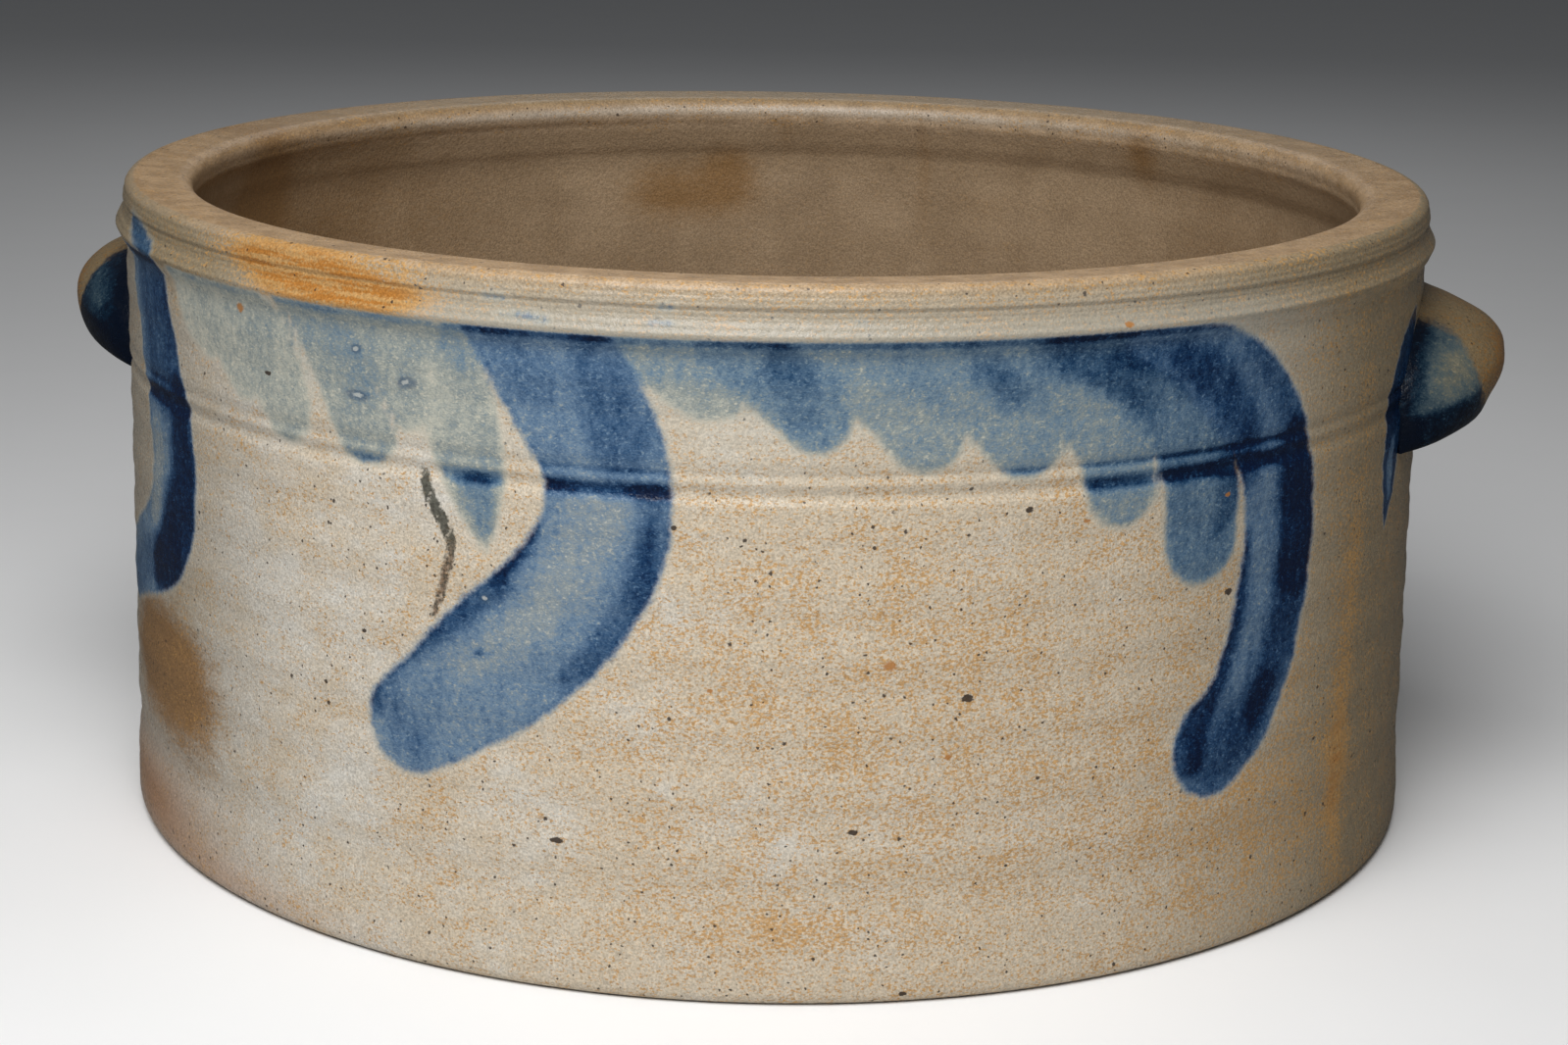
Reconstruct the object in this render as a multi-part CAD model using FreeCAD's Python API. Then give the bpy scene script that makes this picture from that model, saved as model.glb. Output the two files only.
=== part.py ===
import FreeCAD, Part
import math
import os

# A wide, low, open stoneware crock: one thrown body with a heavy banded rim, and two lug
# handles luted to its wall on the X axis. Millimetres, +Z up. The origin is the centre of the
# base, on the surface that the crock stands on. Profile points are (radius, height).

# Driving dimensions
HEIGHT = 160.0
LIP_RADIUS = 165.4        # outside of the lip
RIM_WIDTH = 17.4          # from the outside of the lip to the mouth
WALL_THICKNESS = 11.5
FLOOR_THICKNESS = 10.0

# Outside of the body
HEEL_RADIUS = LIP_RADIUS + 1.3
HEEL_ROUND = 3.0
HEEL_HEIGHT = 9.0         # the heel runs straight up to here
HEEL_TAPER_TOP = 26.0     # and draws in to the wall by here
WALL_RADIUS_LOW = LIP_RADIUS + 0.5
WALL_RADIUS_HIGH = LIP_RADIUS - 0.5

# Incised line round the shoulder
LINE_HEIGHT = 115.5
LINE_WIDTH = 3.6
LINE_DEPTH = 0.6

# Rim: a lower bead, a shallow groove, and the lip
BAND_BOTTOM = HEIGHT - 13.0
BAND_UNDERCUT = 2.4       # height of the slope under the bead
BEAD_RADIUS = LIP_RADIUS + 1.8
BEAD_EDGE_RADIUS = LIP_RADIUS + 1.1
BEAD_MIDDLE = BAND_BOTTOM + 2.2
GROOVE_BOTTOM = HEIGHT - 7.2
GROOVE_TOP = HEIGHT - 5.4
GROOVE_DEPTH = 0.4
LIP_ROUND = 2.9

# Inside of the body
MOUTH_RADIUS = LIP_RADIUS - RIM_WIDTH
INNER_RADIUS = WALL_RADIUS_HIGH - WALL_THICKNESS
MOUTH_ROUND = 4.4
ROLL_MIDDLE = HEIGHT - 7.0    # the roll inside the mouth turns outwards here
ROLL_BOTTOM = HEIGHT - 9.0    # and ends here
ROLL_MIDDLE_RADIUS = MOUTH_RADIUS + 0.3
ROLL_BOTTOM_RADIUS = MOUTH_RADIUS + 1.6
NECK_HEIGHT = HEIGHT - 13.0   # the overhang fades into the inner wall by here
FLOOR_FILLET = 14.0

# Lug handles, measured from the wall on the X axis
LUG_HALF_ANGLE = 15.0     # degrees either side of the X axis
LUG_STATIONS = 13         # sections along one lug
LUG_REACH = 20.5
LUG_END_REACH = 0.8
LUG_DROOP = 23.0          # fall of the upper root from the middle to the ends
LUG_EMBED = 4.0           # sections start this far inside the wall, then are trimmed to it
LUG_HOLLOW = 7.0          # depth of the finger hollow under the lug
LUG_NOSE_SAG = 12.0       # fall of the nose from the middle to the ends
LUG_LIP_SAG = 3.0         # fall of the lower lip from the middle to the ends
RIGHT_LUG_HEIGHTS = (136.5, 121.5, 106.0)   # upper root, nose, lower lip
LEFT_LUG_HEIGHTS = (139.0, 124.5, 109.5)
LUG_ROOT_RISE = 1.0       # the upper root keeps climbing this much inside the wall
# Points of a lug's section: (share of the reach, share of the way down that stretch)
LUG_BACK = ((0.42, 0.20), (0.80, 0.52))     # from the upper root to the nose
LUG_FRONT = ((0.86, 0.70), (0.55, 1.0))     # from the nose to the lower lip
LUG_HOLLOW_REACH = 0.28   # half way up the finger hollow
# How fast a lug's reach falls away from its middle: (1 - spread ** power) ** root
REACH_POWER = 2.3
REACH_ROOT = 0.75

SIN_45 = math.sin(math.radians(45.0))


def point(radius, height, angle=0.0):
    """Point at this radius and height, turned about the crock's axis by an angle in degrees."""
    turn = math.radians(angle)
    return FreeCAD.Vector(radius * math.cos(turn), radius * math.sin(turn), height)


def outline_edges(start, steps):
    """Edges from start through steps: each step is an end point, or (middle, end) for an arc."""
    edges = []
    last = point(*start)
    for step in steps:
        if isinstance(step[0], tuple):
            middle, end = point(*step[0]), point(*step[1])
            edges.append(Part.Arc(last, middle, end).toShape())
        else:
            end = point(*step)
            edges.append(Part.LineSegment(last, end).toShape())
        last = end
    return edges


def revolved(edges):
    """Solid of revolution about +Z of a closed outline in the XZ plane."""
    face = Part.Face(Part.Wire(edges))
    axis = FreeCAD.Vector(0, 0, 1)
    return face.revolve(FreeCAD.Vector(0, 0, 0), axis, 360)


def outer_steps():
    """Outside of the crock from the flat of the base up to the crown of the lip."""
    heel_middle = HEEL_ROUND * (1.0 - SIN_45)
    line_half = LINE_WIDTH / 2.0
    lip_middle = LIP_ROUND * (1.0 - SIN_45)
    groove_middle = (GROOVE_BOTTOM + GROOVE_TOP) / 2.0
    return [
        ((HEEL_RADIUS - heel_middle, heel_middle), (HEEL_RADIUS, HEEL_ROUND)),
        (HEEL_RADIUS, HEEL_HEIGHT),
        (WALL_RADIUS_LOW, HEEL_TAPER_TOP),
        (WALL_RADIUS_HIGH, LINE_HEIGHT - line_half),
        ((WALL_RADIUS_HIGH - LINE_DEPTH, LINE_HEIGHT), (WALL_RADIUS_HIGH, LINE_HEIGHT + line_half)),
        (WALL_RADIUS_HIGH, BAND_BOTTOM - BAND_UNDERCUT),
        (BEAD_EDGE_RADIUS, BAND_BOTTOM),
        ((BEAD_RADIUS, BEAD_MIDDLE), (LIP_RADIUS, GROOVE_BOTTOM)),
        ((LIP_RADIUS - GROOVE_DEPTH, groove_middle), (LIP_RADIUS, GROOVE_TOP)),
        (LIP_RADIUS, HEIGHT - LIP_ROUND),
        ((LIP_RADIUS - lip_middle, HEIGHT - lip_middle), (LIP_RADIUS - LIP_ROUND, HEIGHT)),
    ]


def inner_steps():
    """Inside of the crock from the crown of the lip down to the middle of the floor."""
    mouth_middle = MOUTH_ROUND * (1.0 - SIN_45)
    fillet_middle = FLOOR_FILLET * (1.0 - SIN_45)
    return [
        (MOUTH_RADIUS + MOUTH_ROUND, HEIGHT),
        ((MOUTH_RADIUS + mouth_middle, HEIGHT - mouth_middle), (MOUTH_RADIUS, HEIGHT - MOUTH_ROUND)),
        ((ROLL_MIDDLE_RADIUS, ROLL_MIDDLE), (ROLL_BOTTOM_RADIUS, ROLL_BOTTOM)),
        (INNER_RADIUS, NECK_HEIGHT),
        (INNER_RADIUS, FLOOR_THICKNESS + FLOOR_FILLET),
        ((INNER_RADIUS - fillet_middle, FLOOR_THICKNESS + fillet_middle),
         (INNER_RADIUS - FLOOR_FILLET, FLOOR_THICKNESS)),
        (0.0, FLOOR_THICKNESS),
        (0.0, 0.0),
    ]


def crock_body():
    """The thrown pot: flat base, upright wall and thick rim."""
    start = (0.0, 0.0)
    foot = (HEEL_RADIUS - HEEL_ROUND, 0.0)
    return revolved(outline_edges(start, [foot] + outer_steps() + inner_steps()))


def outer_envelope():
    """Everything inside the outside of the crock, used to trim the lugs to the wall."""
    start = (0.0, 0.0)
    foot = (HEEL_RADIUS - HEEL_ROUND, 0.0)
    crown = [(0.0, HEIGHT), start]
    return revolved(outline_edges(start, [foot] + outer_steps() + crown))


def lug_section(angle, heights):
    """Closed section of a lug in the upright plane at this angle from its middle."""
    top, nose, lip = heights
    spread = abs(angle) / LUG_HALF_ANGLE
    reach = LUG_END_REACH + LUG_REACH * (1.0 - spread ** REACH_POWER) ** REACH_ROOT
    top -= LUG_DROOP * (1.0 - math.sqrt(1.0 - spread ** 2))
    nose -= LUG_NOSE_SAG * spread ** 2
    lip -= LUG_LIP_SAG * spread ** 2
    hollow = lip + LUG_HOLLOW * (1.0 - spread ** 2)
    wall = WALL_RADIUS_HIGH
    back = [(wall + out * reach, top - down * (top - nose)) for out, down in LUG_BACK]
    front = [(wall + out * reach, nose - down * (nose - lip)) for out, down in LUG_FRONT]
    underside = (wall + LUG_HOLLOW_REACH * reach, (lip + hollow) / 2.0)
    shape = [(wall - LUG_EMBED, top + LUG_ROOT_RISE), (wall, top)]
    shape += back + [(wall + reach, nose)] + front
    shape += [underside, (wall - LUG_EMBED, hollow)]
    points = [point(radius, height, angle) for radius, height in shape]
    curve = Part.BSplineCurve()
    curve.interpolate(points)
    return Part.Wire([curve.toShape(), Part.LineSegment(points[-1], points[0]).toShape()])


def lug_handle(heights, envelope):
    """One hood-shaped lug on the +X side, with its seat trimmed to the wall."""
    step = 2.0 * LUG_HALF_ANGLE / (LUG_STATIONS - 1)
    angles = [-LUG_HALF_ANGLE + index * step for index in range(LUG_STATIONS)]
    sections = [lug_section(angle, heights) for angle in angles]
    return Part.makeLoft(sections, True, False).cut(envelope)


def largest_solid(shape):
    """The main solid of a shape, as a plain solid."""
    return max(shape.Solids, key=lambda solid: solid.Volume)


def main():
    envelope = outer_envelope()
    right_lug = lug_handle(RIGHT_LUG_HEIGHTS, envelope)
    left_lug = lug_handle(LEFT_LUG_HEIGHTS, envelope)
    left_lug.rotate(FreeCAD.Vector(0, 0, 0), FreeCAD.Vector(0, 0, 1), 180)
    nodes = {
        "crock_body": crock_body(),
        "right_lug_handle": right_lug,
        "left_lug_handle": left_lug,
    }
    os.makedirs("parts", exist_ok=True)
    for name, shape in nodes.items():
        solid = largest_solid(shape)
        solid.exportStep("parts/" + name + ".step")
        print(name, "solids", len(shape.Solids), "valid", solid.isValid(), "cm3", solid.Volume / 1000)


main()
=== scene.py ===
import math

import bmesh
import bpy
import numpy as np
from mathutils import Matrix, Vector


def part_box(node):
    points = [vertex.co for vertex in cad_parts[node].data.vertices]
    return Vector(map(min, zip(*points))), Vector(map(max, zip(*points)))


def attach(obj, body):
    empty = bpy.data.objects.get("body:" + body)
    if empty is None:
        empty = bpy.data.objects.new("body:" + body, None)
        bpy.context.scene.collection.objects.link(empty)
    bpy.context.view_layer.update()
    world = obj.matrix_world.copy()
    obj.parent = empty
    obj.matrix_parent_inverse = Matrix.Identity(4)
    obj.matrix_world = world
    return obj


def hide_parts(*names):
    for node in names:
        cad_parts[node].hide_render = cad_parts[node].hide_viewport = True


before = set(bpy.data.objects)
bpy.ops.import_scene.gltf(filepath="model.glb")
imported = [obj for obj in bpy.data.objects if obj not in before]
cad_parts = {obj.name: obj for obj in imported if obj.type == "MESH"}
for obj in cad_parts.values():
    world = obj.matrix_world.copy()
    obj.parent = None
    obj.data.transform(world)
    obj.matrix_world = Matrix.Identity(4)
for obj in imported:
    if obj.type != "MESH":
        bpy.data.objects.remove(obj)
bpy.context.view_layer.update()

# A wide, low stoneware crock with two lugs, salt glazed and brushed with cobalt. Shapes are
# worked out in millimetres and built in metres. Places on the wall are (angle, height): the
# angle is in degrees from the middle of the decorated front, positive towards the right lug,
# and the front itself is turned FRONT_TURN degrees from -Y towards +X.

MM = 0.001

# ---------------------------------------------------------------- sizes (mm)

BODY_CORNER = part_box("crock_body")[1] / MM
HEIGHT = BODY_CORNER.z
BEAD_RADIUS = BODY_CORNER.x
LIP_RADIUS = BEAD_RADIUS - 1.8
WALL_RADIUS = LIP_RADIUS - 0.5
MOUTH_RADIUS = LIP_RADIUS - 17.4
INNER_RADIUS = WALL_RADIUS - 11.5
FLOOR_HEIGHT = 10.0
FLOOR_FILLET = 14.0
CENTRE_RADIUS = 20.0      # the floor and the underside are closed by a fan inside this
BASE_HOLLOW = 0.6         # how far the underside is raised inside its ring
BASE_RING = 26.0          # distance in from the heel to that hollow
HEEL_RADIUS = LIP_RADIUS + 1.3
HEEL_ROUND = 3.0
HEEL_HEIGHT = 9.0         # the heel runs straight up to here
HEEL_TAPER_TOP = 26.0     # and draws in to the wall by here
LOW_WALL_RADIUS = WALL_RADIUS + 1.0
LINE_MIDDLE = 115.0       # middle of the incised line
LINE_ZONE = (110.0, 122.0)
BAND_BOTTOM = HEIGHT - 13.0
BAND_UNDERCUT = 2.4       # height of the slope under the bead
BEAD_EDGE_RADIUS = BEAD_RADIUS - 0.7
BEAD_MIDDLE = BAND_BOTTOM + 2.2
BEAD_TOP = HEIGHT - 7.2
LIP_ROUND = 2.9
MOUTH_ROUND = 4.4
MOUTH_DIP = 0.5           # how far the rim's top falls towards the mouth
ROLL_MIDDLE = (MOUTH_RADIUS + 0.3, HEIGHT - 7.0)
ROLL_BOTTOM = (MOUTH_RADIUS + 1.6, HEIGHT - 9.0)
NECK_HEIGHT = HEIGHT - 19.0   # the overhang fades into the inner wall by here
FRONT_TURN = 9.0
MM_PER_DEGREE = math.radians(1.0) * WALL_RADIUS
FAR_AWAY = 999.0          # farther than any two places on the crock

# Marks of the potter's hands and tools
LINE_DEPTH = 0.36
LINE_HALF_WIDTH = 1.4
SECOND_LINE = 4.3         # a fainter line this far above the first
SECOND_LINE_DEPTH = 0.24
RING_DEPTH = 0.16         # throwing rings
FINE_RING_DEPTH = 0.09
HEEL_DIP = 0.5            # a slight hollow above the heel
OVAL = 0.45               # how far the crock is out of round
THREE_SIDED = 0.2         # and how far it leans to three sides
LINE_RIDGES = [(2.4, 0.14), (-2.3, 0.11)]     # (distance above the line, height)
# Fine lines turned into the rim: (height, depth, half width)
RIM_LINES = [(157.5, 0.34, 0.45), (156.2, 0.20, 0.35), (154.4, 0.50, 0.5),
             (153.2, 0.18, 0.3), (151.9, 0.20, 0.3), (150.4, 0.16, 0.35)]

# ---------------------------------------------------------------- mesh resolution (mm)

COLUMNS = 480             # round the crock
BASE_STEP = 20.0          # on the underside
RING_STEP = 6.0           # on the ring that it stands on
ROW_STEP = 1.9            # on the painted wall
LINE_STEP = 0.5           # on the incised line
FINE_STEP = 0.75          # on the rim
BEAD_STEP = 0.45
LIP_STEP = 0.42
CROWN_STEP = 1.5
NECK_STEP = 2.2
COARSE_STEP = 6.0         # inside the crock
FLOOR_STEP = 14.0


# ---------------------------------------------------------------- body profile

def run(start, end, step):
    """Points from start towards end at about this step, without the end."""
    count = max(1, round(math.dist(start, end) / step))
    return [tuple(a + (b - a) * i / count for a, b in zip(start, end)) for i in range(count)]


def quarter(centre, radius, start, end, count):
    """Points on an arc about centre from one angle in degrees towards another, without the end."""
    angles = [math.radians(start + (end - start) * i / count) for i in range(count)]
    return [(centre[0] + radius * math.cos(a), centre[1] + radius * math.sin(a)) for a in angles]


def runs(points_and_steps):
    """Points through several places in turn, each given with the step used after it."""
    rows = []
    for (start, step), (end, _) in zip(points_and_steps, points_and_steps[1:]):
        rows += run(start, end, step)
    return rows


def outside_profile():
    """(radius, height) rows from the middle of the base up the outside to the crown of the lip."""
    rows = runs([
        ((CENTRE_RADIUS, BASE_HOLLOW), BASE_STEP),
        ((HEEL_RADIUS - BASE_RING, BASE_HOLLOW), RING_STEP),
        ((HEEL_RADIUS - HEEL_ROUND, 0.0), None),
    ])
    rows += quarter((HEEL_RADIUS - HEEL_ROUND, HEEL_ROUND), HEEL_ROUND, -90, 0, 6)
    rows += runs([
        ((HEEL_RADIUS, HEEL_ROUND), ROW_STEP),
        ((HEEL_RADIUS, HEEL_HEIGHT), ROW_STEP),
        ((LOW_WALL_RADIUS, HEEL_TAPER_TOP), ROW_STEP),
        ((WALL_RADIUS, LINE_ZONE[0]), LINE_STEP),
        ((WALL_RADIUS, LINE_ZONE[1]), ROW_STEP),
        ((WALL_RADIUS, BAND_BOTTOM - BAND_UNDERCUT), FINE_STEP),
        ((BEAD_EDGE_RADIUS, BAND_BOTTOM), FINE_STEP),
        ((BEAD_RADIUS, BEAD_MIDDLE), BEAD_STEP),
        ((LIP_RADIUS, BEAD_TOP), LIP_STEP),
        ((LIP_RADIUS, HEIGHT - LIP_ROUND), None),
    ])
    rows += quarter((LIP_RADIUS - LIP_ROUND, HEIGHT - LIP_ROUND), LIP_ROUND, 0, 90, 7)
    return rows


def inside_profile():
    """(radius, height) rows from the crown of the lip down the inside to the middle of the floor."""
    mouth_top = HEIGHT - MOUTH_DIP
    crown_end = (MOUTH_RADIUS + MOUTH_ROUND, mouth_top)
    rows = run((LIP_RADIUS - LIP_ROUND, HEIGHT), crown_end, CROWN_STEP)
    rows += quarter((MOUTH_RADIUS + MOUTH_ROUND, mouth_top - MOUTH_ROUND), MOUTH_ROUND, 90, 180, 9)
    rows += runs([
        ((MOUTH_RADIUS, mouth_top - MOUTH_ROUND), FINE_STEP),
        (ROLL_MIDDLE, FINE_STEP),
        (ROLL_BOTTOM, NECK_STEP),
        ((INNER_RADIUS, NECK_HEIGHT), COARSE_STEP),
        ((INNER_RADIUS, FLOOR_HEIGHT + FLOOR_FILLET), None),
    ])
    fillet_centre = (INNER_RADIUS - FLOOR_FILLET, FLOOR_HEIGHT + FLOOR_FILLET)
    rows += quarter(fillet_centre, FLOOR_FILLET, 0, -90, 8)
    floor_end = (CENTRE_RADIUS, FLOOR_HEIGHT)
    rows += run((INNER_RADIUS - FLOOR_FILLET, FLOOR_HEIGHT), floor_end, FLOOR_STEP)
    rows.append(floor_end)
    return rows


def bump(x, centre, width):
    """Smooth unit bump of this half width."""
    return np.exp(-((x - centre) / width) ** 2)


def ramp_up(value, low, high):
    """Straight rise from 0 at low to 1 at high, or a fall where high is below low."""
    return np.clip((value - low) / (high - low), 0.0, 1.0)


def wander(angle, waves, seed):
    """Slow wave round the crock, the sum of a few sines, between about -1 and 1."""
    total = 0.0
    for wave in range(1, waves + 1):
        phase = math.radians(47.0 * seed + 131.0 * wave)
        total = total + np.sin(np.radians(angle) * wave + phase) / wave
    return total / 1.6


def line_shift(angle):
    """How far the incised line wanders up or down round the crock."""
    return 0.35 * wander(angle, 7, 2)


def second_line(angle):
    """How strongly the fainter line is cut, which comes and goes round the crock."""
    return np.clip(wander(angle + 40.0, 3, 5) * 2.0, 0.3, 1.0)


def relief(angle, height, outside):
    """Radial unevenness (mm) that the potter's hands and tools left on the clay."""
    at_line = height - LINE_MIDDLE - line_shift(angle)
    line = -LINE_DEPTH * bump(at_line, 0.0, LINE_HALF_WIDTH)
    for above, rise in LINE_RIDGES:
        line += rise * bump(at_line, above, 0.45)
    line -= SECOND_LINE_DEPTH * second_line(angle) * bump(at_line, SECOND_LINE, 0.6)
    rim_lines = 0.0
    for place, depth, width in RIM_LINES:
        rim_lines = rim_lines - depth * bump(height, place + 0.25 * wander(angle, 5, place), width)
    rings = RING_DEPTH * np.sin(height * 0.42 + 1.3 * wander(angle, 3, 1))
    rings += FINE_RING_DEPTH * np.sin(height * 1.15 + 2.0 * wander(angle, 4, 3))
    over_heel = -HEEL_DIP * bump(height, 21.0, 5.0)
    oval = OVAL * np.sin(np.radians(angle) * 2.0 + 0.6)
    oval += THREE_SIDED * np.sin(np.radians(angle) * 3.0)
    above_heel = ramp_up(height, 2.0, 14.0)
    outer = oval + above_heel * (rings + line + rim_lines + over_heel)
    inner = oval + 1.6 * rings
    return np.where(outside, outer, inner)


def grid_mesh(name, points, close_low, close_high):
    """Mesh of a grid of points (rows, columns, 3) that closes round its columns and at both ends."""
    rows, columns = points.shape[:2]
    verts = [tuple(p) for p in points.reshape(-1, 3)]
    faces = []
    for r in range(rows - 1):
        low, high = r * columns, (r + 1) * columns
        for c in range(columns):
            d = (c + 1) % columns
            faces.append((low + c, low + d, high + d, high + c))
    last = (rows - 1) * columns
    low_hub = len(verts)
    high_hub = low_hub + 1
    verts += [tuple(close_low), tuple(close_high)]
    faces += [(low_hub, (c + 1) % columns, c) for c in range(columns)]
    faces += [(high_hub, last + c, last + (c + 1) % columns) for c in range(columns)]
    mesh = bpy.data.meshes.new(name)
    mesh.from_pydata(verts, [], faces)
    mesh.polygons.foreach_set("use_smooth", [True] * len(mesh.polygons))
    work = bmesh.new()
    work.from_mesh(mesh)
    bmesh.ops.recalc_face_normals(work, faces=work.faces)
    work.to_mesh(mesh)
    work.free()
    return mesh


def store(mesh, name, values):
    """Keeps one number per vertex on the mesh, for the materials to read."""
    layer = mesh.attributes.new(name, "FLOAT", "POINT")
    layer.data.foreach_set("value", np.asarray(values, np.float32))


# ---------------------------------------------------------------- brushwork

# Each stroke is a list of (angle, height, half width in mm) along its middle.
MIDDLE_COMMA = [(-18.2, 150, 15), (-15.8, 138, 15), (-13.4, 127, 14.8), (-12.2, 116, 14.4),
                (-12.8, 102, 14.8), (-15.8, 88, 15.6), (-20.6, 75, 16), (-25.2, 64, 13.8),
                (-28.4, 57.4, 12.2)]
LEFT_COMMA = [(-66.2, 150, 14), (-64.0, 136, 14), (-62.0, 122, 14), (-60.2, 108, 15),
              (-59.8, 95, 15), (-61.0, 84, 14.2), (-65.0, 76, 12.0), (-70.0, 70, 10),
              (-75.0, 64, 9)]
RIGHT_COMMA = [(28, 145, 3), (33.0, 141.5, 7.5), (37.6, 134, 11), (41.4, 122.5, 12.4),
               (43.4, 110, 12.6), (43.9, 97, 12.9), (43.3, 83, 13.2), (42.0, 69, 13.0),
               (39.9, 57.5, 12.8), (37.1, 50.5, 12.6)]
COMMAS = [LEFT_COMMA, MIDDLE_COMMA, RIGHT_COMMA]

# Pale dabs hang from the rim between the commas: (strength, stroke)
DABS = [
    (0.22, [(-56, 147, 6), (-53.5, 140, 8), (-51.5, 136, 7)]),
    (0.26, [(-52, 146, 7), (-48, 136, 9), (-46.2, 129, 7)]),
    (0.27, [(-47, 147, 8), (-43.5, 136, 9.5), (-41.0, 123.5, 8.5)]),
    (0.33, [(-39.5, 147, 7), (-35.0, 135, 9.8), (-32.7, 123.5, 10)]),
    (0.30, [(-34, 148, 8), (-29.8, 137, 9), (-28.6, 130, 7.5)]),
    (0.32, [(-30, 147, 8), (-25.3, 136, 9.5), (-23.6, 123, 9.5), (-22.6, 111, 6.5),
            (-21.9, 99, 1.2)]),
    (0.40, [(-24, 144, 6), (-10, 143, 6), (4, 143, 5.5), (18, 143, 6), (34, 143, 5)]),
    (0.34, [(-9, 146, 7), (-5.5, 139, 8), (-3.8, 136, 5.5)]),
    (0.50, [(-3, 146, 8), (1.2, 138, 9), (3.2, 131.5, 8)]),
    (0.41, [(2, 147, 8), (8.2, 138, 9.5), (11.2, 128.5, 9.2)]),
    (0.45, [(9, 147, 9), (15.5, 137, 10), (18.9, 126.5, 9.6)]),
    (0.46, [(16, 147, 9), (23, 137, 10.5), (26.2, 124, 10), (27.1, 113.5, 9.3)]),
    (0.61, [(23, 147, 9), (30, 138, 11), (33.6, 123, 11.5), (34.8, 110, 11.2), (34.9, 99.5, 11)]),
]

# Darker and paler runs inside the strokes, where the brush laid more or less cobalt, and one run of
# painted shade over the whole right comma:
# (change of strength, softness in mm, stroke)
ACCENTS = [
    (0.19, 7, [(-13.8, 146, 4), (-12.6, 136, 6), (-11.2, 126, 7)]),
    (0.12, 6, [(-20.5, 147, 6), (-18.0, 136, 5)]),
    (0.21, 3.5, [(-9.0, 106, 2.0), (-9.7, 98, 3.0), (-10.6, 88, 3.4), (-12.8, 79, 3.4),
                 (-15.4, 72, 2.0)]),
    (0.14, 3.0, [(-8.8, 114, 3.0), (-8.6, 104, 3.0), (-9.4, 92, 3.0)]),
    (0.36, 2.5, [(-18.0, 106, 1.6), (-19.2, 100, 2.6), (-20.6, 94, 1.4)]),
    (0.24, 4.5, [(-20.5, 92, 2.8), (-25.0, 82, 3.2), (-28.6, 75, 3.0), (-31.4, 67, 2.6),
                 (-32.2, 60, 2.0)]),
    (-0.12, 7, [(-13.0, 110, 6), (-15.2, 96, 6), (-18.8, 82, 5), (-24.0, 72, 3)]),
    (0.10, 5, [(-30.5, 60, 4), (-28.0, 53, 4)]),
    (0.32, 1.2, [(-23.2, 76.8, 0.4), (-22.3, 75.6, 1.0), (-21.6, 74.4, 0.4)]),
    (0.26, 8, [(-64.0, 148, 12), (-62.5, 132, 12), (-61.5, 120, 10)]),
    # painted shade: this run darkens the whole right comma, on the side turned from the light
    (0.13, 8, [(33.0, 141, 6), (38.5, 134, 10), (43.0, 115, 12), (44.0, 97, 12), (43.0, 75, 12),
               (38.0, 52, 11)]),
    (0.44, 6, [(-57.6, 120, 3), (-57.4, 110, 6), (-57.4, 97, 7.5), (-58.6, 86, 9), (-60.8, 77, 9),
               (-63.6, 71, 6)]),
    (0.14, 6, [(-64.0, 75, 5), (-69.0, 69, 6), (-74.0, 63, 6)]),
    (0.12, 6, [(-58.8, 146, 5), (-58.2, 130, 6)]),
    (-0.14, 5, [(-63.2, 110, 3), (-63.4, 98, 5), (-64.6, 86, 5)]),
    (0.40, 6, [(45.2, 119, 4), (46.0, 110, 7.5), (46.5, 99, 8), (46.3, 89, 7)]),
    (0.12, 5, [(40.0, 141, 3), (43.5, 129, 4), (45.6, 120, 4)]),
    (0.20, 7, [(45.8, 88, 7), (44.4, 72, 7), (42.0, 59, 7), (39.5, 50, 8), (36.5, 44, 6)]),
    (0.16, 5, [(42.6, 62, 4), (41.4, 55, 3)]),
    (0.30, 3, [(39.6, 98, 1.0), (39.4, 86, 2.6), (38.2, 75, 3.2), (36.6, 64, 3.6), (34.8, 54, 4.4),
               (34.2, 48, 4.4)]),
    (-0.08, 6, [(42.0, 110, 4), (42.2, 95, 5), (41.8, 80, 5), (40.6, 66, 4), (39.2, 57, 2)]),
    (0.20, 6, [(27.5, 143.5, 3), (31.5, 141, 5), (35.5, 134, 6), (38.8, 122, 5), (39.2, 113, 4)]),
    (0.18, 4, [(37.4, 116, 3), (37.6, 108, 3.5), (36.8, 101, 2)]),
    (0.16, 5, [(16.0, 141, 3), (17.6, 136, 4)]),
    (0.12, 5, [(0.5, 142, 5), (2.4, 132, 4)]),
    (0.12, 6, [(20.0, 144, 4), (25.0, 141, 5), (28.5, 133, 5)]),
    (0.06, 5, [(-44.0, 141, 4), (-34.0, 141, 6), (-33.0, 130, 5)]),
    (0.22, 4, [(-22.6, 112, 4), (-21.9, 104, 2.5)]),
    (-0.10, 5, [(-26.5, 136, 3), (-26.0, 124, 3)]),
]

# Thin gaps that the brush left between dabs
GAPS = [[(-40.8, 145, 0.3), (-38.8, 135, 0.9), (-36.2, 121, 0.9), (-35.2, 115, 0.9)],
        [(-31.5, 131, 0.3), (-29.2, 121, 1.0), (-28.6, 113, 1.6)]]

# Touches of cobalt that the brush left on the band above
BAND_TOUCHES = [
    [(-69, 154, 2.0), (-66, 152, 3.0), (-62, 149, 3)],
    [(-22.0, 154.9, 0.2), (-20.6, 154.6, 0.7), (-19.9, 153.9, 0.3)],
    [(-20.5, 151.2, 0.1), (-18.0, 151.2, 0.8), (-16.4, 150.6, 0.2)],
    [(-8.4, 154.6, 0.4), (-7.5, 154.6, 0.6)],
    [(-9.0, 151.4, 0.1), (-7.2, 151.4, 0.5)],
    [(5.6, 152.4, 0.1), (6.4, 152.4, 0.4)],
]

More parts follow.
